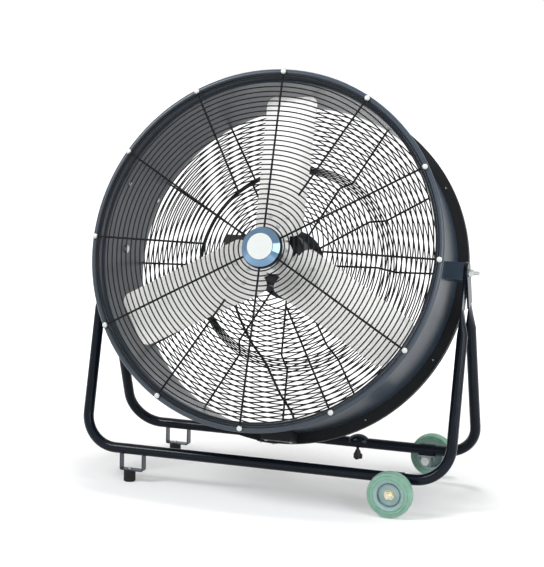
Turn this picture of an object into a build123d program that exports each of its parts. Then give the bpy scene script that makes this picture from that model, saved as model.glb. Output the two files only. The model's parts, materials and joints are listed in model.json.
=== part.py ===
from build123d import *
import os
from math import cos, degrees, hypot, pi, radians, sin, sqrt, tan

os.makedirs("parts", exist_ok=True)

# Drum fan, in millimetres and degrees. X runs along the rails towards the wheels, the fan blows
# towards -Y, Z is up, and the origin is on the floor, at the middle of the box that the fan fills.
# Places on the drum are given as sideways, up the tilted drum, and depth: the distance behind the
# tilt axis. The rails' places are measured from the tilt axis too.

# Stand and tilt
pivot_height = 688
tilt = 17.6
rail_height = 99
front_rail_reach = -147
rear_rail_reach = 222
tube_radius = 16
tube_wall = 2
bend_radius = 100
flat_thickness = 6
flat_width = 42
flat_top = 31
flat_length = 108
flat_blend = 75
joint_gap = 0.5
running_clearance = 0.05

# Drum
wall_outer = 505
wall_thickness = 2
drum_front = -152
drum_rear = 147
bead_radius = 10
bead_reach = 20
bead_depth = -178
ring_reach = 31.5
ring_sheet = 2.5
ring_depth = 20
seam_angle = 159
seam_reach = 117
strip_width = 40
strip_thickness = 2
joint_angle = -93
joint_length = 60
small_head_radius = 4.5
small_head_height = 2.4
head_play = 0.1
seam_setback = 12
seam_head_radius = 7
seam_head_height = 3.5
seam_nut_flats = 9
seam_nut_height = 4
lid_screw_inset = 8

# Pivots
bracket_reach = 53
bracket_height = 52
bracket_depth = 40
bracket_sheet = 3
pivot_bolt_radius = 6
pivot_bolt_end = 602
pivot_head_radius = 13
pivot_head_height = 6
pivot_nut_flats = 19
pivot_nut_height = 10.8
pivot_washer_radius = 12
pivot_washer_thickness = 2.3

# Guards
ring_wire = 2
front_spoke_wire = 3
rear_spoke_wire = 3
weld_depth = 0.4
eyelet_gap = 0.2
guard_pitch = 14.58
front_ring_first = 69.7
front_ring_count = 30
rim_ring_reaches = (2, 9)
long_spoke_inner = 50
short_spoke_inner = 183
spoke_count = 12
eyelet_radius = 9
guard_screw_radius = 2.5
guard_cap_radius = 8
guard_cap_height = 6
rear_head_radius = 6
rear_head_height = 3.5
rear_spoke_angle = 1.9
rear_fix_reach = 15
rear_step_outer = 313
rear_step_inner = 276
rear_recess = 70.4
rear_step_rings = 5
rear_ring_last = 492
rear_spoke_inner = 96
rear_bend = 10

# Cap in the middle of the front guard
centre_plate_radius = 62
centre_plate_thickness = 1.5
cap_radius = 58
cap_disc_radius = 38.5
cap_height = 16.8
cap_sheet = 2

# Motor
motor_radius = 85
motor_wall = 6
motor_front = -45
bell_plate = 6
bell_skirt = 14
motor_plate_radius = 107
motor_plate_thickness = 4
motor_flange = 4
rear_cup_inset = 27
rear_cup_depth = 44
shaft_radius = 10
shaft_front = -96
bearing_outer = 23.5
bearing_width = 14
bearing_seat_wall = 5.5
core_front = -2
core_length = 64
air_gap = 0.5
rotor_radius = 45
winding_inner = 50
winding_outer = 66
winding_overhang = 15
motor_bolt_inset = 13
motor_bolt_radius = 4

# Terminal box, on the motor's side
box_left = -177
box_top = 65
box_bottom = 15
box_front = -10
box_rear = 60
box_wall = 3
lid_thickness = 3
capacitor_radius = 16
capacitor_inset = 47
gland_radius = 9
gland_length = 13
lead_radius = 3.75
lead_entry = (-155.5, 42)
lead_exit = (50, -516)
lead_play = 0.1
clip_wall = 1.25
clip_length = 9

# Connection box, under the drum
outlet_left = -20
outlet_right = 74
outlet_low = 531
outlet_front = 64
outlet_rear = 132

# Rotor
blade_count = 3
blade_first_angle = 90
blade_root = 58
blade_tip = 478
blade_lead = 79
blade_trail = 86
blade_corner = 28
blade_thickness = 2
root_station = 118
root_pitch = 17.6
tip_pitch = 8
root_depth = -68
tip_depth = -80
root_camber = 2
tip_camber = 8
arm_thickness = 3
arm_gap = 0.15
spider_radius = 55
spider_front = -64
spider_thickness = 4
hub_flange_radius = 45
hub_flange_thickness = 8
hub_boss_radius = 22
hub_boss_front = -94
hub_bolt_circle = 36
hub_bolt_radius = 4
rivet_radius = 4
rivet_head_radius = 7
rivet_places = ((158, 0), (88, 0), (115, -31), (120, 32))

# Wheels
wheel_x = 414
wheel_radius = 67
wheel_width = 38
wheel_offset = 66
tyre_inner = 44
hub_rim_inner = 36
hub_rim_slope = 4
hub_disc_radius = 31
hub_disc_place = 8
hub_groove = 4
hub_web = 8
hub_boss = 15
hub_overhang = 2
side_gap = 0.4
axle_radius = 8
axle_nut_flats = 24
axle_nut_height = 10
axle_head_height = 10
axle_tail = 3
spacer_radius = 12
strap_gap = 0.3
strap_thickness = 2
strap_width = 46
block_width = 30
block_bottom = 52
block_plate_width = 54
block_plate_thickness = 3

# Feet
foot_x = -420
foot_radius = 18
foot_height = 34
foot_bracket_left = -448
foot_bracket_right = -372
foot_bar = 4
foot_bar_width = 25
foot_bolt_radius = 4
foot_bolt_length = 24

# Cord holder on the rear rail
saddle_x = 194
saddle_length = 58
saddle_rise = 11
hook_x = 191.5
hook_bottom = 47
hook_lobe = 6.5
hook_lobe_circle = 9

# Derived frame of the drum
bead_centre = wall_outer + bead_reach
ring_outer = wall_outer + ring_reach
rear_fix_radius = wall_outer + rear_fix_reach
rear_cup_radius = motor_radius - rear_cup_inset
motor_bolt_circle = motor_radius - motor_bolt_inset
bead_front = bead_depth - bead_radius
ring_rear = drum_rear + ring_depth
cap_reach = guard_cap_height + front_spoke_wire - bead_front
front_reach = bead_centre * sin(radians(tilt)) + cap_reach * cos(radians(tilt))
rear_reach = ring_outer * sin(radians(tilt)) + ring_rear * cos(radians(tilt))
pivot_y = (front_reach - rear_reach) / 2
front_rail_y = pivot_y + front_rail_reach
rear_rail_y = pivot_y + rear_rail_reach
pivot = Vector(0, pivot_y, pivot_height)
side_dir = Vector(1, 0, 0)
rear_dir = Vector(0, cos(radians(tilt)), -sin(radians(tilt)))
up_dir = Vector(0, sin(radians(tilt)), cos(radians(tilt)))
fan_axis = Axis(pivot, rear_dir)


def spot(x, h, depth):
    """Point of the room at x sideways, h up the drum and depth behind the tilt axis."""
    return pivot + side_dir * x + up_dir * h + rear_dir * depth


def outwards(angle):
    """Direction away from the drum's axis at an angle, counter-clockwise seen from the front."""
    return side_dir * cos(radians(angle)) + up_dir * sin(radians(angle))


def face_plane(depth, angle=0):
    """Plane across the drum with its z towards the front and its x turned by angle."""
    return Plane(spot(0, 0, depth), x_dir=outwards(angle), z_dir=rear_dir * -1)


def axial_plane(angle=0):
    """Plane through the drum's axis: x outwards at angle and y towards the rear."""
    return Plane(pivot, x_dir=outwards(angle), z_dir=outwards(angle).cross(rear_dir))


def radial_plane(radius, angle, depth):
    """Plane square to a radius of the drum, with its z outwards and its y towards the rear."""
    x_dir = rear_dir.cross(outwards(angle))
    return Plane(pivot + outwards(angle) * radius + rear_dir * depth, x_dir=x_dir, z_dir=outwards(angle))


def finish(piece, node):
    """Names a finished piece and writes it."""
    piece.part.label = node
    export_step(piece.part, f"parts/{node}.step")


def turned(outline):
    """Ring about the drum's axis from (radius, depth) corners."""
    with BuildPart() as ring:
        with BuildSketch(axial_plane()):
            with BuildLine():
                Polyline(*outline, close=True)
            make_face()
        revolve(axis=fan_axis)
    return ring.part


def tube_ring(inner, outer, front, rear):
    """Plain ring about the drum's axis."""
    return turned(((inner, front), (outer, front), (outer, rear), (inner, rear)))


def wire_run(plane, points, wire, bend):
    """Bent wire along points of a plane."""
    with BuildPart() as run:
        with BuildLine(plane) as path:
            if len(points) > 2:
                FilletPolyline(*points, radius=bend)
            else:
                Line(*points)
        with BuildSketch(Plane(path.line @ 0, z_dir=path.line % 0)):
            Circle(wire)
        sweep()
    return run.part


def stud(plane, radius, length, head_radius, head_height, dome=True):
    """Screw along a plane's -z, its head on the plane's +z side."""
    with BuildPart() as screw:
        with BuildSketch(plane):
            Circle(radius)
        extrude(amount=-length)
        with BuildSketch(plane):
            Circle(head_radius)
        extrude(amount=head_height)
        if dome:
            rim = screw.edges().filter_by(GeomType.CIRCLE)
            fillet(rim.group_by(SortBy.RADIUS)[-1].sort_by(plane_axis(plane))[-1], head_height * 0.8)
    return screw.part


def plane_axis(plane):
    """Axis along a plane's z."""
    return Axis(plane.origin, plane.z_dir)


def hex_piece(plane, flats, height, bore):
    """Hexagon nut on a plane, growing along its z."""
    with BuildPart() as nut:
        with BuildSketch(plane):
            RegularPolygon(flats / 2, 6, major_radius=False)
            if bore:
                Circle(bore, mode=Mode.SUBTRACT)
        extrude(amount=height)
        chamfer_edges = nut.faces().sort_by(plane_axis(plane))[-1].outer_wire().edges()
        chamfer(chamfer_edges, height * 0.08)
    return nut.part


def pan_head(plane, radius, height):
    """Small screw head on a plane, with a hexagon socket."""
    with BuildPart() as head:
        with BuildSketch(plane):
            Circle(radius)
        extrude(amount=height)
        fillet(head.edges().filter_by(GeomType.CIRCLE).sort_by(plane_axis(plane))[-1], height / 3)
        with BuildSketch(plane.offset(height)):
            RegularPolygon(radius * 0.4, 6)
        extrude(amount=-height / 2, mode=Mode.SUBTRACT)
    return head.part


def washer(plane, inner, outer, thickness):
    """Flat washer or spacer on a plane, growing along its z."""
    with BuildPart() as ring:
        with BuildSketch(plane):
            Circle(outer)
            Circle(inner, mode=Mode.SUBTRACT)
        extrude(amount=thickness)
    return ring.part


# ---- Stand: hoops ----
bracket_face = wall_outer + bracket_reach
front_flat_x = bracket_face + joint_gap + flat_thickness / 2
leg_x = front_flat_x + joint_gap + flat_thickness
tube_top = flat_length + flat_blend


def make_hoop(rail_y, flat_x):
    """Bent tube through the tilt axis and one rail, with flattened and drilled ends."""
    leg_up = Vector(0, pivot_y - rail_y, pivot_height - rail_height).normalized()
    leg_plane = Plane(pivot, x_dir=side_dir, z_dir=side_dir.cross(leg_up))
    drop = hypot(pivot_y - rail_y, pivot_height - rail_height)
    with BuildPart() as hoop:
        with BuildLine(leg_plane) as path:
            corners = ((-leg_x, -tube_top), (-leg_x, -drop), (leg_x, -drop), (leg_x, -tube_top))
            FilletPolyline(*corners, radius=bend_radius)
        with BuildSketch(Plane(path.line @ 0, z_dir=path.line % 0)):
            Circle(tube_radius)
            Circle(tube_radius - tube_wall, mode=Mode.SUBTRACT)
        sweep()
        for hand in (-1, 1):
            blend_top = pivot + side_dir * (hand * flat_x) - leg_up * flat_length
            blend_foot = pivot + side_dir * (hand * leg_x) - leg_up * tube_top
            with BuildSketch(Plane(blend_top, x_dir=side_dir, z_dir=leg_up * -1)):
                Ellipse(flat_thickness / 2, flat_width / 2)
            with BuildSketch(Plane(blend_foot, x_dir=side_dir, z_dir=leg_up * -1)):
                Circle(tube_radius)
            loft()
            eye = pivot + side_dir * (hand * flat_x - flat_thickness / 2)
            crown = flat_top - flat_width / 2
            with BuildSketch(Plane(eye, x_dir=leg_up, z_dir=side_dir)):
                with Locations(((crown - flat_length) / 2, 0)):
                    Rectangle(crown + flat_length, flat_width)
                with Locations((crown, 0)):
                    Circle(flat_width / 2)
                Circle(pivot_bolt_radius + running_clearance, mode=Mode.SUBTRACT)
            extrude(amount=flat_thickness)
    return hoop


finish(make_hoop(front_rail_y, front_flat_x), "front_hoop")
finish(make_hoop(rear_rail_y, leg_x), "rear_hoop")

# ---- Stand: feet ----
rails = (("front", front_rail_y, -1), ("rear", rear_rail_y, 1))


def make_foot_bracket(rail_y):
    """U of flat bar hung under a rail, its ends cut to the tube."""
    middle = (foot_bracket_left + foot_bracket_right) / 2
    width = foot_bracket_right - foot_bracket_left
    height = rail_height - foot_height
    with BuildPart() as bracket:
        with BuildSketch(Plane((middle, rail_y, foot_height), x_dir=side_dir, z_dir=(0, -1, 0))):
            with Locations((0, height / 2)):
                Rectangle(width, height)
            with Locations((0, height / 2 + foot_bar)):
                Rectangle(width - 2 * foot_bar, height, mode=Mode.SUBTRACT)
        extrude(amount=foot_bar_width / 2, both=True)
        low_corners = bracket.edges().filter_by(Axis.Y).group_by(Axis.Z)[0]
        fillet(low_corners, foot_bar * 1.5)
        with BuildSketch(Plane((middle, rail_y, rail_height), x_dir=(0, 1, 0), z_dir=side_dir)):
            Circle(tube_radius)
        extrude(amount=width, both=True, mode=Mode.SUBTRACT)
        with BuildSketch(Plane((foot_x, rail_y, foot_height))):
            Circle(foot_bolt_radius)
        extrude(amount=foot_bar, mode=Mode.SUBTRACT)
    return bracket


def make_rubber_foot(rail_y):
    """Rubber buffer with a blind hole for its bolt."""
    with BuildPart() as foot:
        with BuildSketch(Plane((foot_x, rail_y, 0))):
            Circle(foot_radius)
        extrude(amount=foot_height)
        fillet(foot.edges().group_by(Axis.Z)[0], foot_radius / 6)
        fillet(foot.edges().group_by(Axis.Z)[-1], foot_radius / 18)
        with BuildSketch(Plane((foot_x, rail_y, foot_height))):
            Circle(foot_bolt_radius)
        extrude(amount=foot_bar - foot_bolt_length, mode=Mode.SUBTRACT)
    return foot


with BuildPart() as foot_brackets:
    add([make_foot_bracket(rail_y).part for place, rail_y, hand in rails])
finish(foot_brackets, "foot_brackets")
with BuildPart() as rubber_feet:
    add([make_rubber_foot(rail_y).part for place, rail_y, hand in rails])
finish(rubber_feet, "rubber_feet")

foot_bolt_list = []
for place, rail_y, hand in rails:
    seat = Plane((foot_x, rail_y, foot_height + foot_bar))
    head_radius = 1.7 * foot_bolt_radius
    foot_bolt_list.append(stud(seat, foot_bolt_radius, foot_bolt_length, head_radius, foot_bar, dome=False))
with BuildPart() as foot_bolts:
    add(foot_bolt_list)
finish(foot_bolts, "foot_bolts")

# ---- Stand: wheel mounts ----
strap_inner = tube_radius + strap_gap
strap_outer = strap_inner + strap_thickness
axle_z = wheel_radius
boss_inner = wheel_offset - wheel_width / 2 - hub_overhang


def axle_plane(rail_y, hand, distance):
    """Plane across the axle, distance outboard of the rail's middle, its z outboard."""
    return Plane((wheel_x, rail_y + hand * distance, axle_z), x_dir=side_dir, z_dir=(0, hand, 0))


def make_strap(rail_y):
    """Strap bent over the rail, its legs standing on the axle block's plate."""
    section = Plane((wheel_x, rail_y, rail_height), x_dir=(0, 1, 0), z_dir=side_dir)
    with BuildPart() as strap:
        with BuildSketch(section):
            for radius, mode in ((strap_outer, Mode.ADD), (strap_inner, Mode.SUBTRACT)):
                Circle(radius, mode=mode)
                with Locations((0, -tube_radius / 2)):
                    Rectangle(2 * radius, tube_radius, mode=mode)
            with Locations((0, -tube_radius - strap_outer)):
                Rectangle(2 * strap_outer, 2 * strap_outer, mode=Mode.SUBTRACT)
        extrude(amount=strap_width / 2, both=True)
    return strap


def make_axle_block(rail_y):
    """Block under the rail that carries the axle, with a plate against the rail."""
    rail_under = rail_height - tube_radius
    section = Plane((wheel_x, rail_y, rail_under), x_dir=side_dir, z_dir=(0, 1, 0))
    with BuildPart() as block:
        with BuildSketch(section):
            with Locations((0, block_plate_thickness / 2)):
                Rectangle(block_plate_width, block_plate_thickness)
            height = rail_under - block_bottom
            with Locations((0, height / 2)):
                Rectangle(block_width, height)
        extrude(amount=strap_outer, both=True)
        with BuildSketch(axle_plane(rail_y, 1, 0)):
            Circle(axle_radius)
        extrude(amount=2 * strap_outer, both=True, mode=Mode.SUBTRACT)
    return block


def make_tyre(rail_y, hand):
    """Solid tyre with a crowned tread."""
    section = Plane((wheel_x, rail_y + hand * wheel_offset, axle_z), x_dir=side_dir, z_dir=(0, 0, 1))
    half = wheel_width / 2
    shoulder = wheel_radius - wheel_width / 12
    with BuildPart() as tyre:
        with BuildSketch(section):
            with BuildLine():
                Polyline((shoulder, -half), (tyre_inner, -half), (tyre_inner, half), (shoulder, half))
                ThreePointArc((shoulder, half), (wheel_radius, 0), (shoulder, -half))
            make_face()
        revolve(axis=Axis(section.origin, (0, 1, 0)))
    return tyre


def make_wheel_hub(rail_y, hand):
    """Wheel centre: sloped rim, disc set back behind a groove, and a boss on the axle."""
    section = Plane((wheel_x, rail_y + hand * wheel_offset, axle_z), x_dir=side_dir, z_dir=(0, 0, -hand))
    half = wheel_width / 2
    bore = axle_radius + running_clearance
    groove_floor = hub_disc_place - hub_groove
    web_rear = hub_disc_place - hub_web
    corners = (
        (bore, hub_disc_place),
        (hub_disc_radius, hub_disc_place),
        (hub_disc_radius, groove_floor),
        (hub_rim_inner, groove_floor),
        (hub_rim_inner, half - hub_rim_slope),
        (tyre_inner, half),
        (tyre_inner, -half),
        (hub_rim_inner, -half),
        (hub_rim_inner, web_rear),
        (hub_boss, web_rear),
        (hub_boss, -half - hub_overhang),
        (bore, -half - hub_overhang),
    )
    with BuildPart() as hub:
        with BuildSketch(section):
            with BuildLine():
                Polyline(*((x, -y) for x, y in corners), close=True)
            make_face()
        revolve(axis=Axis(section.origin, (0, 1, 0)))
    return hub


axle_groups = ("wheel_straps", "axle_blocks", "axle_bolts", "axle_nuts", "axle_spacers")
axle_parts = {node: [] for node in axle_groups}
hub_face = wheel_offset + hub_disc_place + side_gap
axle_end = hub_face + pivot_washer_thickness + axle_nut_height + axle_tail
for place, rail_y, hand in rails:
    axle_parts["wheel_straps"].append(make_strap(rail_y).part)
    axle_parts["axle_blocks"].append(make_axle_block(rail_y).part)
    finish(make_tyre(rail_y, hand), f"tyre_{place}")
    finish(make_wheel_hub(rail_y, hand), f"wheel_hub_{place}")
    with BuildPart() as axle:
        with BuildSketch(axle_plane(rail_y, hand, -strap_outer)):
            Circle(axle_radius)
        extrude(amount=strap_outer + axle_end)
        with BuildSketch(axle_plane(rail_y, hand, -strap_outer - axle_head_height)):
            RegularPolygon(axle_nut_flats / 2, 6, major_radius=False)
        extrude(amount=axle_head_height)
        chamfer(axle.edges().sort_by(Axis((0, 0, 0), (0, hand, 0)))[-1], axle_radius / 6)
    axle_parts["axle_bolts"].append(axle.part)
    seat = axle_plane(rail_y, hand, hub_face)
    axle_parts["axle_spacers"].append(washer(seat, axle_radius, hub_boss, pivot_washer_thickness))
    seat = axle_plane(rail_y, hand, hub_face + pivot_washer_thickness)
    axle_parts["axle_nuts"].append(hex_piece(seat, axle_nut_flats, axle_nut_height, axle_radius))
    seat = axle_plane(rail_y, hand, strap_outer)
    gap = boss_inner - side_gap - strap_outer
    axle_parts["axle_spacers"].append(washer(seat, axle_radius, spacer_radius, gap))
for node, solids in axle_parts.items():
    with BuildPart() as group:
        add(solids)
    finish(group, node)

# ---- Stand: cord holder ----
rail_line = Plane((saddle_x, rear_rail_y, rail_height), x_dir=side_dir, z_dir=(0, -1, 0))
with BuildPart() as cord_saddle:
    with BuildSketch(rail_line):
        with BuildLine():
            ends = ((-saddle_length / 2, tube_radius), (saddle_length / 2, tube_radius))
            ThreePointArc(ends[0], (0, tube_radius + saddle_rise), ends[1])
            Line(*ends)
        make_face()
    revolve(axis=Axis(rail_line.origin, (1, 0, 0)), revolution_arc=360)
    split(bisect_by=Plane(rail_line.origin), keep=Keep.TOP)
finish(cord_saddle, "cord_saddle")

hook_top = rail_height - tube_radius
hook_height = hook_top - hook_bottom
with BuildPart() as cord_hook:
    with BuildSketch(Plane((hook_x, rear_rail_y, hook_bottom))):
        with PolarLocations(hook_lobe_circle, 3, 30):
            Circle(hook_lobe)
        Circle(hook_lobe_circle)
    extrude(amount=hook_height * 0.4)
    fillet(cord_hook.edges().group_by(Axis.Z)[0], hook_lobe / 4)
    with BuildSketch(Plane((hook_x, rear_rail_y, hook_bottom + hook_height * 0.4))):
        Circle(hook_lobe_circle + hook_lobe / 2)
    with BuildSketch(Plane((hook_x, rear_rail_y, hook_bottom + hook_height * 0.8))):
        Circle(hook_lobe)
    loft()
    with BuildSketch(Plane((hook_x, rear_rail_y, hook_bottom + hook_height * 0.8))):
        Circle(hook_lobe * 0.7)
    extrude(amount=hook_height * 0.2)
finish(cord_hook, "cord_hook")

# ---- Drum shell and rear ring ----
wall_inner = wall_outer - wall_thickness
wall_middle = wall_outer - wall_thickness / 2
flare_angle = radians(40)
guard_angles = [360 / spoke_count * i for i in range(spoke_count)]
lead_hole = (50, -512)
with BuildPart() as drum_shell:
    with BuildSketch(axial_plane()):
        with BuildLine():
            flare_meet = bead_radius - wall_thickness / 2
            Line((wall_middle, drum_rear), (wall_middle, drum_front))
            TangentArc(
                (wall_middle, drum_front),
                (bead_centre - flare_meet * cos(flare_angle), bead_depth + flare_meet * sin(flare_angle)),
                tangent=(0, -1),
            )
        trace(line_width=wall_thickness)
        with Locations((bead_centre, bead_depth)):
            Circle(bead_radius)
            Circle(bead_radius - wall_thickness, mode=Mode.SUBTRACT)
    revolve(axis=fan_axis)
    with BuildSketch(face_plane(bead_front)):
        with PolarLocations(bead_centre, spoke_count):
            Circle(guard_screw_radius)
    extrude(amount=-bead_radius, mode=Mode.SUBTRACT)
    with BuildSketch(Plane(pivot, x_dir=(0, 1, 0), z_dir=side_dir)):
        Circle(pivot_bolt_radius)
    extrude(amount=wall_outer + wall_thickness, both=True, mode=Mode.SUBTRACT)
    for reach in (-seam_reach, seam_reach):
        with BuildSketch(radial_plane(wall_inner - wall_thickness, seam_angle, reach)):
            Circle(guard_screw_radius)
        extrude(amount=4 * wall_thickness, mode=Mode.SUBTRACT)
finish(drum_shell, "drum_shell")

lip_inner = ring_outer - ring_sheet
flange_rear = drum_rear + ring_sheet
with BuildPart() as rear_ring:
    add(
        turned(
            (
                (wall_inner, drum_rear),
                (ring_outer, drum_rear),
                (ring_outer, ring_rear),
                (lip_inner, ring_rear),
                (lip_inner, flange_rear),
                (wall_inner, flange_rear),
            )
        )
    )
    with BuildSketch(face_plane(flange_rear)):
        with PolarLocations(rear_fix_radius, spoke_count, rear_spoke_angle):
            Circle(guard_screw_radius)
        with Locations(lead_hole):
            Circle(2 * lead_radius)
    extrude(amount=ring_sheet, mode=Mode.SUBTRACT)
finish(rear_ring, "rear_ring")


def shell_patch(inner, outer, angle, width, front, rear):
    """Curved plate on the drum: radii, middle angle, width along the circle, and depths."""
    half = degrees(width / 2 / outer)
    with BuildPart() as patch:
        with BuildSketch(axial_plane(angle - half)):
            with BuildLine():
                Polyline((inner, front), (outer, front), (outer, rear), (inner, rear), close=True)
            make_face()
        revolve(axis=fan_axis, revolution_arc=-2 * half)
    return patch.part


strip_outer = wall_outer + strip_thickness
joint_outer = ring_outer + strip_thickness
with BuildPart() as seam_plates:
    add(shell_patch(wall_outer, strip_outer, seam_angle, strip_width, drum_front + seam_setback, drum_rear))
    for reach in (-seam_reach, seam_reach):
        with BuildSketch(radial_plane(wall_inner, seam_angle, reach)):
            Circle(guard_screw_radius)
        extrude(amount=4 * wall_thickness, mode=Mode.SUBTRACT)
    add(shell_patch(ring_outer, joint_outer, joint_angle, joint_length, drum_rear, ring_rear))
finish(seam_plates, "seam_plates")

seam_stack = wall_thickness + strip_thickness
screw_list = []
for reach in (-seam_reach, seam_reach):
    seat = radial_plane(wall_inner - 0.3, seam_angle, reach)
    inward = Plane(seat.origin, x_dir=seat.x_dir, z_dir=seat.z_dir * -1)
    length = seam_stack + 1.5 * seam_nut_height
    screw_list.append(stud(inward, guard_screw_radius, length, seam_head_radius, seam_head_height))
    seat = radial_plane(strip_outer + head_play, seam_angle, reach)
    screw_list.append(hex_piece(seat, seam_nut_flats, seam_nut_height, guard_screw_radius))
for shift in (-1, 1):
    turn = joint_angle + shift * degrees(joint_length / 3 / ring_outer)
    seat = radial_plane(joint_outer + head_play, turn, (flange_rear + ring_rear) / 2)
    screw_list.append(pan_head(seat, small_head_radius, small_head_height))

# ---- Front guard ----
def wire_rings(places):
    """Guard rings about the drum's axis at (radius, depth) places."""
    with BuildPart() as rings:
        with BuildSketch(axial_plane()):
            with Locations(*places):
                Circle(ring_wire)
        revolve(axis=fan_axis)
    return rings.part


front_spoke_depth = bead_front - front_spoke_wire - eyelet_gap
front_ring_depth = front_spoke_depth - front_spoke_wire - ring_wire + weld_depth
front_radii = [front_ring_first + guard_pitch * i for i in range(front_ring_count)]
front_radii.extend(wall_outer + reach for reach in rim_ring_reaches)
spoke_end = bead_centre - guard_cap_radius
spokes = []
for i, angle in enumerate(guard_angles):
    start = long_spoke_inner if i % 2 else short_spoke_inner
    line = ((start, front_spoke_depth), (spoke_end, front_spoke_depth))
    spokes.append(wire_run(axial_plane(angle), line, front_spoke_wire, 0))
front_rings = [(radius, front_ring_depth) for radius in front_radii]
with BuildPart() as front_inner_rings:
    add(wire_rings(front_rings[: len(front_rings) // 2]))
finish(front_inner_rings, "front_inner_rings")
with BuildPart() as front_outer_rings:
    add(wire_rings(front_rings[len(front_rings) // 2 :]))
finish(front_outer_rings, "front_outer_rings")

with BuildPart() as front_guard_spokes:
    with BuildSketch(face_plane(bead_front)):
        with PolarLocations(bead_centre, spoke_count):
            Circle(eyelet_radius)
            Circle(guard_screw_radius, mode=Mode.SUBTRACT)
    extrude(amount=front_spoke_wire)
    add(spokes)
finish(front_guard_spokes, "front_guard_spokes")

cap_list = []
for angle in guard_angles:
    seat = face_plane(bead_front - front_spoke_wire, angle)
    seat = Plane(seat.origin + outwards(angle) * bead_centre, x_dir=seat.x_dir, z_dir=seat.z_dir)
    cap_list.append(stud(seat, guard_screw_radius, 8, guard_cap_radius, guard_cap_height))
with BuildPart() as guard_caps:
    add(cap_list)
finish(guard_caps, "guard_caps")

# ---- Rear guard ----
rear_spoke_depth = flange_rear + rear_spoke_wire + eyelet_gap
recess_depth = rear_spoke_depth - rear_recess
ring_lift = rear_spoke_wire + ring_wire - weld_depth
slope = hypot(rear_step_outer - rear_step_inner, rear_recess)
lean = (rear_recess / slope, -(rear_step_outer - rear_step_inner) / slope)
rear_rings = []
inner_count = int((rear_step_inner - motor_plate_radius) / guard_pitch) - 1
for i in range(inner_count):
    rear_rings.append((rear_step_inner - guard_pitch * (i + 0.4), recess_depth - ring_lift))
for i in range(rear_step_rings):
    share = (i + 1) / (rear_step_rings + 1)
    radius = rear_step_inner + share * (rear_step_outer - rear_step_inner) + lean[0] * ring_lift
    rear_rings.append((radius, recess_depth + share * rear_recess + lean[1] * ring_lift))
outer_count = int((rear_ring_last - rear_step_outer) / guard_pitch)
for i in range(outer_count + 1):
    rear_rings.append((rear_ring_last - guard_pitch * i, rear_spoke_depth - ring_lift))
rear_spokes = []
for i in range(spoke_count):
    line = (
        (rear_fix_radius - rear_head_radius, rear_spoke_depth),
        (rear_step_outer, rear_spoke_depth),
        (rear_step_inner, recess_depth),
        (rear_spoke_inner, recess_depth),
    )
    plane = axial_plane(rear_spoke_angle + 360 / spoke_count * i)
    rear_spokes.append(wire_run(plane, line, rear_spoke_wire, rear_bend))
ring_split = recess_depth + rear_recess / 3
with BuildPart() as rear_inner_rings:
    add(wire_rings([ring for ring in rear_rings if ring[1] < ring_split]))
finish(rear_inner_rings, "rear_inner_rings")
with BuildPart() as rear_outer_rings:
    add(wire_rings([ring for ring in rear_rings if ring[1] >= ring_split]))
finish(rear_outer_rings, "rear_outer_rings")

with BuildPart() as rear_guard_spokes:
    with BuildSketch(face_plane(flange_rear + rear_spoke_wire)):
        with PolarLocations(rear_fix_radius, spoke_count, rear_spoke_angle):
            Circle(eyelet_radius)
            Circle(guard_screw_radius, mode=Mode.SUBTRACT)
    extrude(amount=rear_spoke_wire)
    add(rear_spokes)
finish(rear_guard_spokes, "rear_guard_spokes")

fix_list = []
for i in range(spoke_count):
    angle = rear_spoke_angle + 360 / spoke_count * i
    centre = spot(0, 0, flange_rear + rear_spoke_wire) + outwards(angle) * rear_fix_radius
    seat = Plane(centre, x_dir=outwards(angle), z_dir=rear_dir)
    fix_list.append(stud(seat, guard_screw_radius, 12, rear_head_radius, rear_head_height))
with BuildPart() as rear_guard_screws:
    add(fix_list)
finish(rear_guard_screws, "rear_guard_screws")

# ---- Cap ----
with BuildPart() as centre_plate:
    add(tube_ring(0, centre_plate_radius, bead_front, bead_front + centre_plate_thickness))
finish(centre_plate, "centre_plate")

cap_base = front_spoke_depth - front_spoke_wire
cap_front = cap_base - cap_height
cap_step = cap_front + cap_sheet
with BuildPart() as cap_rim:
    add(
        turned(
            (
                (0, cap_step + cap_sheet),
                (cap_disc_radius, cap_step + cap_sheet),
                (cap_radius - cap_sheet, cap_base - cap_height / 3),
                (cap_radius - cap_sheet, cap_base),
                (cap_radius, cap_base),
                (cap_radius, cap_base - cap_height / 3),
                (cap_disc_radius + cap_sheet, cap_front),
                (cap_disc_radius, cap_front),
                (cap_disc_radius, cap_step),
                (0, cap_step),
            )
        )
    )
finish(cap_rim, "cap_rim")
with BuildPart() as cap_disc:
    add(tube_ring(0, cap_disc_radius, cap_front, cap_step))
finish(cap_disc, "cap_disc")

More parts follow.
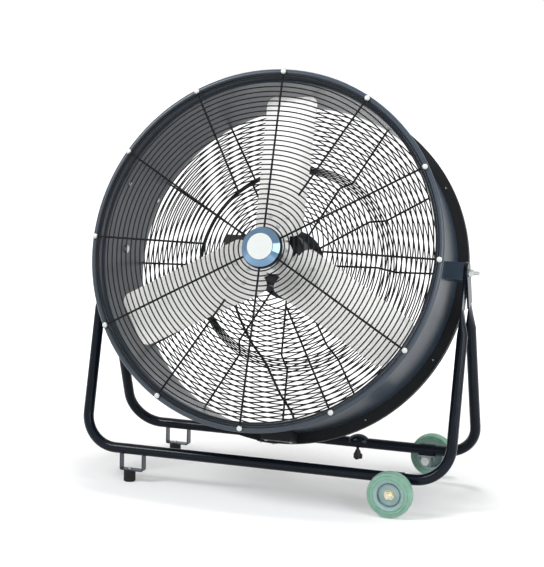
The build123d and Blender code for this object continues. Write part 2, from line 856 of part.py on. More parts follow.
# ---- Pivots ----
pivot_lists = {"pivot_bolts": [], "pivot_nuts": []}
legs_outer = leg_x + flat_thickness / 2
for word, hand in (("left", -1), ("right", 1)):
    plate = Plane(pivot, x_dir=rear_dir * hand, z_dir=side_dir * hand)
    with BuildPart() as bracket:
        with BuildSketch(plate.offset(wall_outer - 20)):
            Rectangle(bracket_depth, bracket_height)
        extrude(amount=bracket_reach + 20)
        with BuildSketch(plate.offset(wall_outer - 20)):
            Rectangle(bracket_depth - 2 * bracket_sheet, bracket_height - 2 * bracket_sheet)
        extrude(amount=bracket_reach + 20 - bracket_sheet, mode=Mode.SUBTRACT)
        with BuildSketch(face_plane(-bracket_depth)):
            Circle(wall_outer)
        extrude(amount=-2 * bracket_depth, mode=Mode.SUBTRACT)
        with BuildSketch(plate.offset(wall_outer)):
            Circle(pivot_bolt_radius)
        extrude(amount=2 * bracket_reach, mode=Mode.SUBTRACT)
    finish(bracket, f"pivot_bracket_{word}")
    head_seat = sqrt(wall_inner**2 - pivot_head_radius**2)
    inner = Plane(plate.offset(head_seat).origin, x_dir=rear_dir, z_dir=side_dir * -hand)
    bolt = stud(inner, pivot_bolt_radius, pivot_bolt_end - head_seat, pivot_head_radius, pivot_head_height)
    pivot_lists["pivot_bolts"].append(bolt)
    outer = plate.offset(legs_outer + joint_gap)
    plain_washer = washer(outer, pivot_bolt_radius, pivot_washer_radius, pivot_washer_thickness)
    pivot_lists["pivot_nuts"].append(plain_washer)
    outer = plate.offset(legs_outer + joint_gap + pivot_washer_thickness)
    pivot_lists["pivot_nuts"].append(hex_piece(outer, pivot_nut_flats, pivot_nut_height, pivot_bolt_radius))
for node, solids in pivot_lists.items():
    with BuildPart() as group:
        add(solids)
    finish(group, node)

# ---- Motor ----
plate_front = recess_depth + rear_spoke_wire
plate_rear = plate_front + motor_plate_thickness
flange_front = plate_front - motor_flange
shell_front = motor_front + bell_plate + bell_skirt
shell_inner = motor_radius - motor_wall
seat_outer = bearing_outer + bearing_seat_wall
shaft_hole = shaft_radius + 2
core_rear = core_front + core_length
cup_rear = plate_front + rear_cup_depth
with BuildPart() as motor_plate:
    add(tube_ring(rear_cup_radius, motor_plate_radius, plate_front, plate_rear))
    with BuildSketch(face_plane(plate_rear)):
        with PolarLocations(motor_bolt_circle, 4, 45):
            Circle(motor_bolt_radius)
    extrude(amount=motor_plate_thickness, mode=Mode.SUBTRACT)
finish(motor_plate, "motor_plate")

with BuildPart() as motor_front_bell:
    add(
        turned(
            (
                (shaft_hole, motor_front),
                (motor_radius - bell_plate, motor_front),
                (motor_radius, motor_front + bell_plate),
                (motor_radius, shell_front),
                (shell_inner, shell_front),
                (shell_inner, motor_front + bell_plate),
                (seat_outer, motor_front + bell_plate),
                (seat_outer, shell_front),
                (bearing_outer, shell_front),
                (bearing_outer, motor_front + bell_plate),
                (shaft_hole, motor_front + bell_plate),
            )
        )
    )
finish(motor_front_bell, "motor_front_bell")

with BuildPart() as motor_body:
    add(tube_ring(shell_inner, motor_radius, shell_front, flange_front))
finish(motor_body, "motor_body")

rear_seat = cup_rear - motor_flange
with BuildPart() as motor_rear_bell:
    add(
        turned(
            (
                (rear_cup_radius - motor_flange, flange_front),
                (motor_radius, flange_front),
                (motor_radius, plate_front),
                (rear_cup_radius, plate_front),
                (rear_cup_radius, cup_rear),
                (0, cup_rear),
                (0, rear_seat),
                (bearing_outer, rear_seat),
                (bearing_outer, rear_seat - bearing_width),
                (seat_outer, rear_seat - bearing_width),
                (seat_outer, rear_seat),
                (rear_cup_radius - motor_flange, rear_seat),
            )
        )
    )
    with BuildSketch(face_plane(plate_front)):
        with PolarLocations(motor_bolt_circle, 4, 45):
            Circle(motor_bolt_radius)
    extrude(amount=motor_flange, mode=Mode.SUBTRACT)
finish(motor_rear_bell, "motor_rear_bell")

motor_bolt_list = []
for i in range(4):
    angle = 45 + 90 * i
    centre = spot(0, 0, plate_rear) + outwards(angle) * motor_bolt_circle
    seat = Plane(centre, x_dir=outwards(angle), z_dir=rear_dir)
    motor_bolt_list.append(stud(seat, motor_bolt_radius, 10, 1.6 * motor_bolt_radius, 5, dome=False))
with BuildPart() as motor_bolts:
    add(motor_bolt_list)
finish(motor_bolts, "motor_bolts")

with BuildPart() as motor_bearings:
    bore = shaft_radius + running_clearance
    front_race = motor_front + bell_plate
    add(tube_ring(bore, bearing_outer, front_race, front_race + bearing_width))
    add(tube_ring(bore, bearing_outer, rear_seat - bearing_width, rear_seat))
finish(motor_bearings, "motor_bearings")

with BuildPart() as stator_core:
    add(tube_ring(rotor_radius + air_gap, shell_inner, core_front, core_rear))
finish(stator_core, "stator_core")

with BuildPart() as stator_winding:
    add(tube_ring(winding_inner, winding_outer, core_front - winding_overhang, core_front))
    add(tube_ring(winding_inner, winding_outer, core_rear, core_rear + winding_overhang))
    fillet(stator_winding.edges().filter_by(GeomType.CIRCLE), 3)
finish(stator_winding, "stator_winding")

with BuildPart() as rotor_core:
    add(tube_ring(shaft_radius, rotor_radius, core_front, core_rear))
finish(rotor_core, "rotor_core")

with BuildPart() as motor_shaft:
    add(tube_ring(0, shaft_radius, shaft_front, rear_seat - 1))
    chamfer(motor_shaft.edges().filter_by(GeomType.CIRCLE), 1)
finish(motor_shaft, "motor_shaft")

# ---- Terminal box ----
box_height = box_top - box_bottom
box_middle = (box_top + box_bottom) / 2
box_length = -box_left - motor_radius / 2
box_centre = (box_left - motor_radius / 2) / 2
with BuildPart() as terminal_box:
    with BuildSketch(face_plane(box_rear)):
        with Locations((box_centre, box_middle)):
            Rectangle(box_length, box_height)
    extrude(amount=box_rear - box_front)
    fillet(terminal_box.edges().filter_by(Axis(pivot, side_dir)), 5)
    with BuildSketch(face_plane(box_rear - box_wall)):
        with Locations((box_centre - box_wall, box_middle)):
            Rectangle(box_length, box_height - 2 * box_wall)
    extrude(amount=box_rear - box_front - 2 * box_wall, mode=Mode.SUBTRACT)
    with BuildSketch(face_plane(box_rear)):
        Circle(motor_radius)
    extrude(amount=box_rear - box_front, mode=Mode.SUBTRACT)
    with BuildSketch(face_plane(box_rear)):
        with Locations(lead_entry):
            Circle(lead_radius)
    extrude(amount=box_wall, mode=Mode.SUBTRACT)
finish(terminal_box, "terminal_box")

left_wall = Plane(spot(box_left, box_middle, (box_rear + box_front) / 2), x_dir=rear_dir, z_dir=side_dir * -1)
box_depth = box_rear - box_front
with BuildPart() as terminal_lid:
    with BuildSketch(left_wall):
        RectangleRounded(box_depth, box_height, 5)
    extrude(amount=lid_thickness)
finish(terminal_lid, "terminal_lid")

for along in (-1, 1):
    for up in (-1, 1):
        offset_x = along * (box_depth / 2 - lid_screw_inset)
        offset_y = up * (box_height / 2 - lid_screw_inset)
        centre = left_wall.offset(lid_thickness).from_local_coords(Vector(offset_x, offset_y, 0))
        seat = Plane(centre, x_dir=rear_dir, z_dir=side_dir * -1)
        screw_list.append(pan_head(seat, small_head_radius, small_head_height))
with BuildPart() as run_capacitor:
    standing = spot(box_left + capacitor_inset, box_bottom + box_wall, (box_rear + box_front) / 2)
    seat = Plane(standing, x_dir=side_dir, z_dir=up_dir)
    with BuildSketch(seat):
        Circle(capacitor_radius)
    extrude(amount=box_height - 3 * box_wall)
finish(run_capacitor, "run_capacitor")

with BuildPart() as cable_gland:
    with BuildSketch(face_plane(box_rear + gland_length)):
        with Locations(lead_entry):
            Circle(gland_radius)
            Circle(lead_radius, mode=Mode.SUBTRACT)
    extrude(amount=gland_length)
finish(cable_gland, "cable_gland")

# ---- Motor lead, clipped behind the rear guard ----
lead_inner = recess_depth + rear_spoke_wire + lead_radius + clip_wall
lead_outer = rear_spoke_depth + rear_spoke_wire + lead_radius + clip_wall
lead_points = (
    (*lead_entry, 57),
    (*lead_entry, 86),
    (-158, 22, 108),
    (-159, -14, 112),
    (-160, -56, 98),
    (-160, -99, lead_inner),
    (-158, -141, lead_inner),
    (-137, -180, lead_inner),
    (-113, -217, lead_inner),
    (-92, -249, 95),
    (-71, -279, 128),
    (-58, -300, 151),
    (-47, -323, 161),
    (-26, -355, lead_outer),
    (-4, -390, lead_outer),
    (24, -421, lead_outer),
    (46, -450, lead_outer),
    (50, -486, 160),
    (50, -505, 156),
    (*lead_exit, 141),
    (*lead_exit, 123),
)
lead_route = [spot(*point) for point in lead_points]
lead_radii = []
for before, corner, after in zip(lead_route, lead_route[1:], lead_route[2:]):
    run = min((corner - before).length, (after - corner).length)
    turn = (corner - before).get_angle(after - corner)
    lead_radii.append(0.45 * run / tan(radians(turn) / 2))
print("lead bend radii", [round(radius, 1) for radius in lead_radii])
with BuildPart() as motor_lead:
    with BuildLine() as lead_path:
        FilletPolyline(*lead_route, radius=lead_radii)
    with BuildSketch(Plane(lead_path.line @ 0, z_dir=lead_path.line % 0)):
        Circle(lead_radius)
    sweep()
with BuildPart() as lead_space:
    with BuildSketch(Plane(lead_path.line @ 0, z_dir=lead_path.line % 0)):
        Circle(lead_radius + lead_play)
    sweep(path=lead_path.wire())
print("lead volume ratio", motor_lead.part.volume / (pi * lead_radius**2 * lead_path.wire().length))
finish(motor_lead, "motor_lead")

lead_wire = lead_path.wire()
clips = []
clip_seats = ((7, recess_depth), (8, recess_depth), (9, rear_spoke_depth))
for number, spoke_depth in clip_seats:
    angle = rear_spoke_angle + 360 / spoke_count * number
    low, high = 0, 1
    while high - low > 1e-6:
        share = (low + high) / 2
        if (lead_wire.position_at(share) - pivot).dot(outwards(angle + 90)) < 0:
            low = share
        else:
            high = share
    crossing = lead_wire.position_at(low)
    around_lead = Plane(crossing, z_dir=lead_wire.tangent_at(low))
    radius = (crossing - pivot).dot(outwards(angle))
    on_spoke = Plane(spot(0, 0, spoke_depth) + outwards(angle) * radius, z_dir=outwards(angle))
    with BuildPart() as clip:
        for plane, bore in ((around_lead, lead_radius), (on_spoke, rear_spoke_wire)):
            with BuildSketch(plane):
                Circle(bore + clip_wall)
                Circle(bore, mode=Mode.SUBTRACT)
            extrude(amount=clip_length / 2, both=True)
        with BuildSketch(on_spoke):
            Circle(rear_spoke_wire)
        extrude(amount=clip_length, both=True, mode=Mode.SUBTRACT)
        with BuildSketch(Plane(on_spoke.origin, x_dir=outwards(angle), z_dir=rear_dir * -1)):
            Rectangle(3 * clip_length, 3 * clip_length)
        extrude(amount=clip_length, mode=Mode.SUBTRACT)
        add(lead_space.part, mode=Mode.SUBTRACT)
    clips.append(clip.part)
with BuildPart() as lead_clips:
    add(clips)
finish(lead_clips, "lead_clips")

# ---- Connection box under the drum ----
outlet_width = outlet_right - outlet_left
outlet_x = (outlet_left + outlet_right) / 2
outlet_height = outlet_low - wall_outer + 12
outlet_plane = face_plane(outlet_rear)
with BuildPart() as connection_box:
    with BuildSketch(outlet_plane):
        with Locations((outlet_x, -outlet_low + outlet_height / 2)):
            Rectangle(outlet_width, outlet_height)
    extrude(amount=outlet_rear - outlet_front)
    with BuildSketch(face_plane(outlet_rear - box_wall)):
        with Locations((outlet_x, -outlet_low + outlet_height / 2)):
            Rectangle(outlet_width - 2 * box_wall, outlet_height)
    extrude(amount=outlet_rear - outlet_front - 2 * box_wall, mode=Mode.SUBTRACT)
    with BuildSketch(outlet_plane):
        Circle(wall_outer)
    extrude(amount=outlet_rear - outlet_front, mode=Mode.SUBTRACT)
    with BuildSketch(outlet_plane):
        with Locations(lead_exit):
            Circle(lead_radius)
    extrude(amount=box_wall, mode=Mode.SUBTRACT)
finish(connection_box, "connection_box")

with BuildPart() as connection_lid:
    middle = spot(outlet_x, -outlet_low, (outlet_front + outlet_rear) / 2)
    lid_plane = Plane(middle, x_dir=side_dir, z_dir=up_dir * -1)
    with BuildSketch(lid_plane):
        Rectangle(outlet_width, outlet_rear - outlet_front)
    extrude(amount=cap_sheet)
finish(connection_lid, "connection_lid")

for along in (-1, 1):
    screw_reach = along * (outlet_width / 2 - lid_screw_inset)
    centre = lid_plane.offset(cap_sheet).from_local_coords(Vector(screw_reach, 0, 0))
    seat = Plane(centre, x_dir=side_dir, z_dir=up_dir * -1)
    screw_list.append(pan_head(seat, small_head_radius, small_head_height))
with BuildPart() as drum_screws:
    add(screw_list)
finish(drum_screws, "drum_screws")

# ---- Rotor ----
blade_span = blade_tip - blade_root


def blade_state(station):
    """Pitch, middle depth and camber of the blades at a distance from the fan's axis."""
    share = (station - root_station) / (blade_tip - root_station)
    pitch = root_pitch + share * (tip_pitch - root_pitch)
    depth = root_depth + share * (tip_depth - root_depth)
    camber = root_camber + max(share, 0) * (tip_camber - root_camber)
    return pitch, depth, camber


def blade_section(angle, station):
    """Plane across a blade at a station, its x along the chord and its y towards the front."""
    pitch, depth, camber = blade_state(station)
    around = outwards(angle + 90)
    chord = around * cos(radians(pitch)) + rear_dir * sin(radians(pitch))
    centre = spot(0, 0, depth) + outwards(angle) * station
    return Plane(centre, x_dir=chord, z_dir=outwards(angle))


def bent_sheet(angle, stations, reach, near, far):
    """Twisted, cambered sheet lofted along a blade between two offsets behind its front face."""
    with BuildPart() as sheet:
        for station, (trail, lead) in zip(stations, reach):
            camber = blade_state(station)[2]
            curve = (blade_trail**2 + camber**2) / (2 * camber)
            with BuildSketch(blade_section(angle, station)):
                with BuildLine():
                    ends = []
                    for back in (near, far):
                        radius = curve + back
                        row = [(w, curve - sqrt(radius**2 - w**2)) for w in (-trail, 0, lead)]
                        ThreePointArc(*row)
                        ends.append((row[0], row[-1]))
                    Line(ends[0][0], ends[1][0])
                    Line(ends[0][1], ends[1][1])
                make_face()
        loft()
    return sheet.part


def rivet_frame(angle, place):
    """Plane on a blade's front face at a rivet, its z towards the front."""
    station, across = place
    section = blade_section(angle, station)
    camber = blade_state(station)[2]
    curve = (blade_trail**2 + camber**2) / (2 * camber)
    lift = curve - sqrt(curve**2 - across**2)
    point = section.from_local_coords(Vector(across, lift, 0))
    normal = section.y_dir * sqrt(1 - (across / curve) ** 2) - section.x_dir * (across / curve)
    return Plane(point, x_dir=outwards(angle), z_dir=normal)


blade_angles = [blade_first_angle + 360 / blade_count * i for i in range(blade_count)]
blade_stations = [40, 160, 280, 400, blade_tip + 12]
wide = (blade_trail + 8, blade_lead + 8)
rivet_depth = blade_thickness + arm_gap + arm_thickness
for number, angle in enumerate(blade_angles):
    with BuildPart() as blade:
        add(bent_sheet(angle, blade_stations, [wide] * 5, 0, blade_thickness))
        with BuildSketch(face_plane(tip_depth - 40, angle)):
            with Locations(((blade_root + blade_tip) / 2, (blade_lead - blade_trail) / 2)):
                RectangleRounded(blade_span, blade_lead + blade_trail, blade_corner)
        extrude(amount=-100, mode=Mode.INTERSECT)
        for place in rivet_places:
            with BuildSketch(rivet_frame(angle, place)):
                Circle(rivet_radius)
            extrude(amount=8, both=True, mode=Mode.SUBTRACT)
    finish(blade, f"blade_{number + 1}")

arm_stations = [46, 90, 135, 180]
arm_reach = [(45, 45), (42, 42), (40, 40), (22, 22)]
arms = [
    bent_sheet(angle, arm_stations, arm_reach, blade_thickness + arm_gap, rivet_depth)
    for angle in blade_angles
]
spider_rear = spider_front + spider_thickness
with BuildPart() as fan_spider:
    add(tube_ring(hub_boss_radius, spider_radius, spider_front, spider_rear))
    add(arms)
    with BuildSketch(face_plane(spider_rear)):
        with PolarLocations(hub_bolt_circle, blade_count, blade_first_angle + 180 / blade_count):
            Circle(hub_bolt_radius)
    extrude(amount=spider_thickness * 2, both=True, mode=Mode.SUBTRACT)
    with BuildSketch(face_plane(spider_rear)):
        Circle(hub_boss_radius)
    extrude(amount=spider_thickness * 4, both=True, mode=Mode.SUBTRACT)
    for angle in blade_angles:
        for place in rivet_places:
            with BuildSketch(rivet_frame(angle, place)):
                Circle(rivet_radius)
            extrude(amount=10, both=True, mode=Mode.SUBTRACT)
finish(fan_spider, "fan_spider")

rivet_list = []
for angle in blade_angles:
    for place in rivet_places:
        seat = rivet_frame(angle, place).offset(head_play)
        rivet_list.append(stud(seat, rivet_radius, rivet_depth + 1, rivet_head_radius, 3))
with BuildPart() as blade_rivets:
    add(rivet_list)
finish(blade_rivets, "blade_rivets")

with BuildPart() as fan_hub:
    add(
        turned(
            (
                (shaft_radius, hub_boss_front),
                (hub_boss_radius, hub_boss_front),
                (hub_boss_radius, spider_rear),
                (hub_flange_radius, spider_rear),
                (hub_flange_radius, spider_rear + hub_flange_thickness),
                (shaft_radius, spider_rear + hub_flange_thickness),
            )
        )
    )
    with BuildSketch(face_plane(spider_rear + hub_flange_thickness)):
        with PolarLocations(hub_bolt_circle, blade_count, blade_first_angle + 180 / blade_count):
            Circle(hub_bolt_radius)
    extrude(amount=hub_flange_thickness, mode=Mode.SUBTRACT)
finish(fan_hub, "fan_hub")

hub_bolt_list = []
for angle in blade_angles:
    turn = angle + 180 / blade_count
    centre = spot(0, 0, spider_front) + outwards(turn) * hub_bolt_circle
    seat = Plane(centre, x_dir=outwards(turn), z_dir=rear_dir * -1)
    length = spider_thickness + hub_flange_thickness
    hub_bolt_list.append(stud(seat, hub_bolt_radius, length, 1.6 * hub_bolt_radius, 5, dome=False))
with BuildPart() as hub_bolts:
    add(hub_bolt_list)
finish(hub_bolts, "hub_bolts")
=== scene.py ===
import json
import math

import bmesh
import bpy
from mathutils import Matrix, Vector


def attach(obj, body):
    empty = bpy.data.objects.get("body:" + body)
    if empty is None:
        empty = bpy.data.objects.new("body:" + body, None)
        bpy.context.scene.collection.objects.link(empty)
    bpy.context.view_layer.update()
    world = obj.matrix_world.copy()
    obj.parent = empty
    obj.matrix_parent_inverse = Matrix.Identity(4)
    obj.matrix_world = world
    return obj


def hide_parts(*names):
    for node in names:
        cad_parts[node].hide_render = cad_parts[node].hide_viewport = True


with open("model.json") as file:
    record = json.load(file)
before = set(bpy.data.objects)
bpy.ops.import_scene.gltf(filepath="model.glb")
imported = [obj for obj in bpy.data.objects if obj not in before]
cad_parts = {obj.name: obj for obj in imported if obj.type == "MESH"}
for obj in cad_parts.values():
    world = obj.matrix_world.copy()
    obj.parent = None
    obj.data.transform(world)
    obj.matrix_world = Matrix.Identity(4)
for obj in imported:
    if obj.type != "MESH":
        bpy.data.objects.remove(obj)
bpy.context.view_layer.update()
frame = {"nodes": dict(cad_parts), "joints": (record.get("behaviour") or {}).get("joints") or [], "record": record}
nodes = frame["nodes"]
scene = bpy.context.scene
scene.view_settings.view_transform = "Standard"

joints = {joint["name"]: joint for joint in frame["joints"]}
pivot = Vector(joints["fan_spin"]["pos_m"])


# ---- Camera ----
SENSOR_WIDTH, LENS = 36, 118.25
AZIMUTH, ELEVATION, ROLL = math.radians(18.46), math.radians(7.9), math.radians(1.35)
DISTANCE = 5.3294
AIM_ACROSS, AIM_UP = -0.0265, -0.0728
CLIP_END = 50

camera = bpy.data.objects.new("camera", bpy.data.cameras.new("camera"))
scene.collection.objects.link(camera)
scene.camera = camera
camera.data.sensor_fit = "HORIZONTAL"
camera.data.sensor_width = SENSOR_WIDTH
camera.data.lens = LENS
away = Vector(
    (
        math.sin(AZIMUTH) * math.cos(ELEVATION),
        -math.cos(AZIMUTH) * math.cos(ELEVATION),
        math.sin(ELEVATION),
    )
)
across = Vector((math.cos(AZIMUTH), math.sin(AZIMUTH), 0))
look_at = pivot + across * AIM_ACROSS + Vector((0, 0, AIM_UP))
camera.location = pivot + away * DISTANCE
forward = (look_at - camera.location).normalized()
level = forward.cross(Vector((0, 0, 1))).normalized()
upright = level.cross(forward)
right = level * math.cos(ROLL) + upright * math.sin(ROLL)
upward = upright * math.cos(ROLL) - level * math.sin(ROLL)
turn = Matrix((right, upward, -forward)).transposed()
camera.rotation_mode = "QUATERNION"
camera.rotation_quaternion = turn.to_quaternion()
camera.data.clip_end = CLIP_END


# ---- Node helpers ----
# Noise is mostly between these two values.
NOISE_LOW, NOISE_HIGH = 0.3, 0.7
# Detail and roughness of the noise for colour, for gloss and for fine grain.
COLOUR_NOISE, GLOSS_NOISE, GRAIN_NOISE = (4, 0.6), (5, 0.65), (2, 0.5)
# How much finer the patches of gloss are than the patches of colour.
GLOSS_SCALE = 2.3


def new_tree(name):
    """Material with an empty tree: material, nodes, links."""
    material = bpy.data.materials.new(name)
    material.use_nodes = True
    tree = material.node_tree
    tree.nodes.clear()
    return material, tree.nodes, tree.links


def noise(tree_nodes, links, where, scale, kind, stretch):
    """Noise of object coordinates, with a kind's detail and roughness; returns its output."""
    mapping = tree_nodes.new("ShaderNodeMapping")
    mapping.inputs["Scale"].default_value = stretch
    links.new(where, mapping.inputs["Vector"])
    texture = tree_nodes.new("ShaderNodeTexNoise")
    texture.inputs["Scale"].default_value = scale
    texture.inputs["Detail"].default_value, texture.inputs["Roughness"].default_value = kind
    links.new(mapping.outputs["Vector"], texture.inputs["Vector"])
    return texture.outputs["Fac"]


def ramp(tree_nodes, links, source, stops):
    """Colour ramp with two (place, colour) stops."""
    node = tree_nodes.new("ShaderNodeValToRGB")
    for element, (place, colour) in zip(node.color_ramp.elements, stops):
        element.position = place
        element.color = (*colour, 1)
    links.new(source, node.inputs["Fac"])
    return node.outputs["Color"]


def spread(tree_nodes, links, source, low, high, start=NOISE_LOW, end=NOISE_HIGH):
    """A source value of start to end mapped to low to high."""
    node = tree_nodes.new("ShaderNodeMapRange")
    node.inputs["From Min"].default_value = start
    node.inputs["From Max"].default_value = end
    node.inputs["To Min"].default_value = low
    node.inputs["To Max"].default_value = high
    links.new(source, node.inputs["Value"])
    return node.outputs["Result"]


def bumped(tree_nodes, links, source, height):
    """Bump of a height in metres."""
    node = tree_nodes.new("ShaderNodeBump")
    node.inputs["Distance"].default_value = height
    links.new(source, node.inputs["Height"])
    return node.outputs["Normal"]


def surface(
    name,
    dark,
    light,
    rough,
    metal=0.0,
    level=0.5,
    mottle=14.0,
    grain=600.0,
    grain_height=0.00004,
    stretch=(1, 1, 1),
):
    """Material of a mottled colour between dark and light, with uneven roughness and fine grain."""
    material, tree, links = new_tree(name)
    out = tree.new("ShaderNodeOutputMaterial")
    shader = tree.new("ShaderNodeBsdfPrincipled")
    links.new(shader.outputs["BSDF"], out.inputs["Surface"])
    shader.inputs["Metallic"].default_value = metal
    shader.inputs["Specular IOR Level"].default_value = level
    where = tree.new("ShaderNodeTexCoord").outputs["Object"]
    broad = noise(tree, links, where, mottle, COLOUR_NOISE, stretch)
    colour = ramp(tree, links, broad, ((NOISE_LOW, dark), (NOISE_HIGH, light)))
    links.new(colour, shader.inputs["Base Color"])
    patchy = noise(tree, links, where, mottle * GLOSS_SCALE, GLOSS_NOISE, stretch)
    links.new(spread(tree, links, patchy, *rough), shader.inputs["Roughness"])
    if grain_height:
        fine = noise(tree, links, where, grain, GRAIN_NOISE, stretch)
        links.new(bumped(tree, links, fine, grain_height), shader.inputs["Normal"])
    return material


# ---- Materials, one per slot of the record ----
finishes = {
    "black_tube": dict(
        dark=(0.004, 0.007, 0.012), light=(0.006, 0.010, 0.018), rough=(0.12, 0.16),
        level=0.15, mottle=30, grain_height=0,
    ),
    "black_sheet": dict(
        dark=(0.022, 0.035, 0.052), light=(0.027, 0.041, 0.060), rough=(0.30, 0.36),
        level=0.5, mottle=6, grain_height=0,
    ),
    "black_wire": dict(
        dark=(0.004, 0.005, 0.006), light=(0.007, 0.008, 0.010), rough=(0.38, 0.5),
        level=0.15, grain=900, grain_height=0.00002,
    ),
    "motor_grey": dict(
        dark=(0.008, 0.010, 0.013), light=(0.014, 0.017, 0.020), rough=(0.4, 0.55),
        level=0.3, grain=260, grain_height=0.0001,
    ),
    "zinc": dict(
        dark=(0.50, 0.53, 0.53), light=(0.70, 0.73, 0.71), rough=(0.26, 0.42),
        metal=1.0, mottle=90, grain=1500, grain_height=0.00001,
    ),
    "steel": dict(
        dark=(0.40, 0.40, 0.41), light=(0.55, 0.55, 0.56), rough=(0.3, 0.45),
        metal=1.0, mottle=60, grain=1500, grain_height=0.00001,
    ),
    "brass_nut": dict(
        dark=(0.60, 0.46, 0.20), light=(0.78, 0.62, 0.34), rough=(0.28, 0.4),
        metal=1.0, mottle=120, grain=1500, grain_height=0.00001,
    ),
    # Painted reflection: the chrome's colour is tinted blue and darkened to stand in for the blue, dark
    # surroundings it mirrors.
    "chrome_rim": dict(
        dark=(0.125, 0.215, 0.315), light=(0.167, 0.266, 0.387), rough=(0.10, 0.14),
        metal=1.0, mottle=25, grain_height=0,
    ),
    "cream_cap": dict(
        dark=(0.62, 0.65, 0.63), light=(0.65, 0.68, 0.66), rough=(0.25, 0.35),
        level=0.4, mottle=60, grain_height=0,
    ),
    "blade": dict(
        dark=(0.92, 0.91, 0.88), light=(0.97, 0.96, 0.94), rough=(0.34, 0.5),
        metal=0.35, mottle=22, grain=700, grain_height=0.00001,
    ),
    "black_rubber": dict(
        dark=(0.008, 0.008, 0.009), light=(0.014, 0.014, 0.014), rough=(0.55, 0.75),
        level=0.25, mottle=60, grain=700, grain_height=0.00008,
    ),
    "green_tyre": dict(
        dark=(0.19, 0.37, 0.28), light=(0.27, 0.46, 0.36), rough=(0.5, 0.65),
        level=0.3, mottle=45, grain=900, grain_height=0.00004,
    ),
    "blue_hub": dict(
        dark=(0.25, 0.38, 0.38), light=(0.33, 0.46, 0.46), rough=(0.3, 0.42),
        level=0.4, mottle=40, grain=700, grain_height=0.00002,
    ),
    "black_plastic": dict(
        dark=(0.008, 0.009, 0.011), light=(0.014, 0.015, 0.018), rough=(0.38, 0.5),
        level=0.3, mottle=40, grain=1100, grain_height=0.00004,
    ),
    "cable": dict(
        dark=(0.008, 0.008, 0.009), light=(0.013, 0.013, 0.014), rough=(0.4, 0.55),
        level=0.3, mottle=60, grain=900, grain_height=0.00003,
    ),
    "copper": dict(
        dark=(0.42, 0.20, 0.10), light=(0.62, 0.32, 0.16), rough=(0.25, 0.4),
        metal=1.0, mottle=80, grain=500, grain_height=0.0001, stretch=(1, 6, 6),
    ),
    "cast": dict(
        dark=(0.05, 0.052, 0.055), light=(0.09, 0.092, 0.095), rough=(0.5, 0.65),
        level=0.4, mottle=40, grain=320, grain_height=0.00012,
    ),
}
slots = {name: surface(name, **finish) for name, finish in finishes.items()}

# ---- Nodes that look different from their slot ----
matt_black = surface(
    "matt_black", dark=(0.008, 0.009, 0.010), light=(0.012, 0.013, 0.015), rough=(0.5, 0.62),
    level=0.2, grain=300, grain_height=0.00004,
)
dull_zinc = surface(
    "dull_zinc", dark=(0.22, 0.26, 0.25), light=(0.42, 0.47, 0.45), rough=(0.24, 0.4),
    metal=1.0, mottle=110, grain=1500, grain_height=0.00001,
)
looks = {
    "rear_ring": matt_black,
    "fan_spider": slots["blade"],
    "axle_blocks": dull_zinc,
    "wheel_straps": slots["black_tube"],
    "cord_saddle": slots["black_tube"],
}
for row in frame["record"]["subparts"]:
    mesh = nodes[row["node"]].data
    mesh.materials.clear()
    mesh.materials.append(looks.get(row["node"], slots[row["material_slot"]]))


# ---- Tyres, with the moulded grooves of their sides ----
TYRE_CHAMFER, GROOVE_SLOPE = 0.0009, 0.0005
# Each groove is its radius, half its width and its depth, in metres.
TYRE_GROOVES = ((0.0565, 0.0013, 0.0012), (0.0474, 0.0011, 0.0010))
TREAD_STEPS, TURN_STEPS = 10, 144
SHARP_ANGLE = math.radians(35)


def tyre_side(inner, shoulder, half, hand):
    """Points of one side from the tread to the bore: (radius, along)."""
    points = [(shoulder - TYRE_CHAMFER, half)]
    for middle, reach, depth in TYRE_GROOVES:
        points += [
            (middle + reach, half),
            (middle + reach - GROOVE_SLOPE, half - depth),
            (middle - reach + GROOVE_SLOPE, half - depth),
            (middle - reach, half),
        ]
    points.append((inner, half))
    return [(radius, hand * along) for radius, along in points]


def turned(name, profile, place):
    """Solid turned about the Y axis from a closed loop of (radius, along)."""
    shape = bmesh.new()
    hoops = []
    for step in range(TURN_STEPS):
        angle = math.tau * step / TURN_STEPS
        hoops.append(
            [
                shape.verts.new((radius * math.cos(angle), along, radius * math.sin(angle)))
                for radius, along in profile
            ]
        )
    for here, after in zip(hoops, hoops[1:] + hoops[:1]):
        for i in range(len(profile)):
            j = (i + 1) % len(profile)
            shape.faces.new((here[i], here[j], after[j], after[i]))
    bmesh.ops.recalc_face_normals(shape, faces=shape.faces)
    mesh = bpy.data.meshes.new(name)
    shape.to_mesh(mesh)
    shape.free()
    mesh.shade_smooth()
    mesh.set_sharp_from_angle(angle=SHARP_ANGLE)
    piece = bpy.data.objects.new(name, mesh)
    piece.location = place
    scene.collection.objects.link(piece)
    return piece


def dress_tyre(end):
    """Tyre of one wheel, turned on the CAD tyre's own size."""
    cad = nodes["tyre_" + end]
    spots = [cad.matrix_world @ vertex.co for vertex in cad.data.vertices]
    low = Vector([min(spot[i] for spot in spots) for i in range(3)])
    high = Vector([max(spot[i] for spot in spots) for i in range(3)])
    middle = (low + high) / 2
    radii = [math.hypot(spot.x - middle.x, spot.z - middle.z) for spot in spots]
    outer, inner, half = (high.z - low.z) / 2, min(radii), (high.y - low.y) / 2
    shoulder = min(radius for radius in radii if radius > (inner + outer) / 2)
    crown = (half**2 + (outer - shoulder) ** 2) / (2 * (outer - shoulder))
    tread = []
    for step in range(TREAD_STEPS + 1):
        along = (half - TYRE_CHAMFER) * (2 * step / TREAD_STEPS - 1)
        tread.append((outer - crown + math.sqrt(crown**2 - along**2), along))
    front = tyre_side(inner, shoulder, half, 1)
    rear = tyre_side(inner, shoulder, half, -1)
    piece = turned("tyre_" + end + "_moulded", tread + front + rear[::-1], middle)
    piece.data.materials.append(slots["green_tyre"])
    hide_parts("tyre_" + end)
    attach(piece, "wheel_" + end)


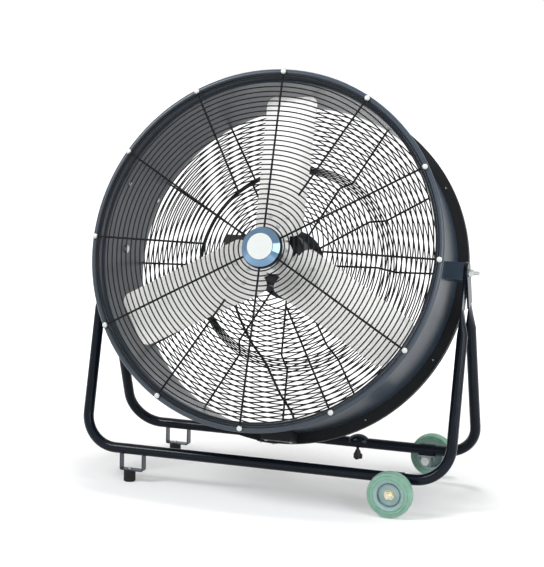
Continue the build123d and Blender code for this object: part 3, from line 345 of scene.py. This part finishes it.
for wheel_end in ("front", "rear"):
    dress_tyre(wheel_end)


# ---- Floor, backdrop and light ----
FLOOR_REACH, FLOOR_DROP = 30, 0.0005
FLOOR_GREY = 0.76
# The floor's own glow grows from the first value to the second, from 1.0 m out to 2.6 m.
GLOW_NEAR, GLOW_FAR = 0.29, 1.0
GLOW_START, GLOW_END = 1.0, 2.6
WORLD_LIGHT, WORLD_SEEN = 0.32, 1.0
WHITE = (1, 1, 1)
LAMP_TARGET = (0, 0, 0.6)


def seen_rays(tree, links):
    """1 for camera, glossy and transmission rays, else 0."""
    path = tree.new("ShaderNodeLightPath")
    seen = path.outputs["Is Camera Ray"]
    for kind in ("Is Glossy Ray", "Is Transmission Ray"):
        either = tree.new("ShaderNodeMath")
        either.operation = "MAXIMUM"
        links.new(seen, either.inputs[0])
        links.new(path.outputs[kind], either.inputs[1])
        seen = either.outputs["Value"]
    return seen


def stage_floor():
    """Pale floor that is white where it is seen and keeps the shadow."""
    mesh = bpy.data.meshes.new("floor")
    signs = ((-1, -1), (1, -1), (1, 1), (-1, 1))
    corners = [(x * FLOOR_REACH, y * FLOOR_REACH, 0) for x, y in signs]
    mesh.from_pydata(corners, [], [(0, 1, 2, 3)])
    floor = bpy.data.objects.new("floor", mesh)
    floor.location.z = -FLOOR_DROP
    scene.collection.objects.link(floor)
    material, tree, links = new_tree("floor")
    out = tree.new("ShaderNodeOutputMaterial")
    diffuse = tree.new("ShaderNodeBsdfDiffuse")
    diffuse.inputs["Color"].default_value = (FLOOR_GREY, FLOOR_GREY, FLOOR_GREY, 1)
    glow = tree.new("ShaderNodeEmission")
    away_from = tree.new("ShaderNodeVectorMath")
    away_from.operation = "LENGTH"
    links.new(tree.new("ShaderNodeTexCoord").outputs["Object"], away_from.inputs[0])
    afar = away_from.outputs["Value"]
    level = spread(tree, links, afar, GLOW_NEAR, GLOW_FAR, GLOW_START, GLOW_END)
    strength = tree.new("ShaderNodeMath")
    strength.operation = "MULTIPLY"
    links.new(seen_rays(tree, links), strength.inputs[0])
    links.new(level, strength.inputs[1])
    links.new(strength.outputs["Value"], glow.inputs["Strength"])
    both = tree.new("ShaderNodeAddShader")
    links.new(diffuse.outputs["BSDF"], both.inputs[0])
    links.new(glow.outputs["Emission"], both.inputs[1])
    links.new(both.outputs["Shader"], out.inputs["Surface"])
    mesh.materials.append(material)


def stage_world():
    """Plain studio: white where it is seen, softer where it lights."""
    world = bpy.data.worlds.new("studio")
    scene.world = world
    world.use_nodes = True
    tree = world.node_tree.nodes
    links = world.node_tree.links
    tree.clear()
    out = tree.new("ShaderNodeOutputWorld")
    background = tree.new("ShaderNodeBackground")
    background.inputs["Color"].default_value = (*WHITE, 1)
    strength = spread(tree, links, seen_rays(tree, links), WORLD_LIGHT, WORLD_SEEN, start=0, end=1)
    links.new(strength, background.inputs["Strength"])
    links.new(background.outputs["Background"], out.inputs["Surface"])


def lamp(name, place, size, power, colour=WHITE, target=LAMP_TARGET, mirrored=True):
    """Soft area lamp of some watts, aimed at a point and perhaps mirrored in glossy surfaces."""
    light = bpy.data.lights.new(name, "AREA")
    light.shape = "RECTANGLE"
    light.size, light.size_y = size
    light.energy = power
    light.color = colour
    holder = bpy.data.objects.new(name, light)
    scene.collection.objects.link(holder)
    holder.location = place
    holder.rotation_mode = "QUATERNION"
    holder.rotation_quaternion = (Vector(target) - Vector(place)).to_track_quat("-Z", "Y")
    holder.visible_camera = False
    holder.visible_glossy = mirrored


stage_floor()
stage_world()
lamp("key", place=(-2.4, -2.6, 3.6), size=(1.6, 1.6), power=122, colour=(0.98, 0.99, 1.0))
lamp("fill", place=(3.2, -2.4, 2.2), size=(2.2, 2.2), power=74, colour=(0.97, 0.98, 1.0))
lamp("top", place=(0.1, 0.2, 3.8), size=(1.6, 1.0), power=85, mirrored=False)
lamp("side_strip", place=(3.2, -0.6, 1.5), size=(0.30, 2.4), power=20, target=(0.5, 0, 0.6))
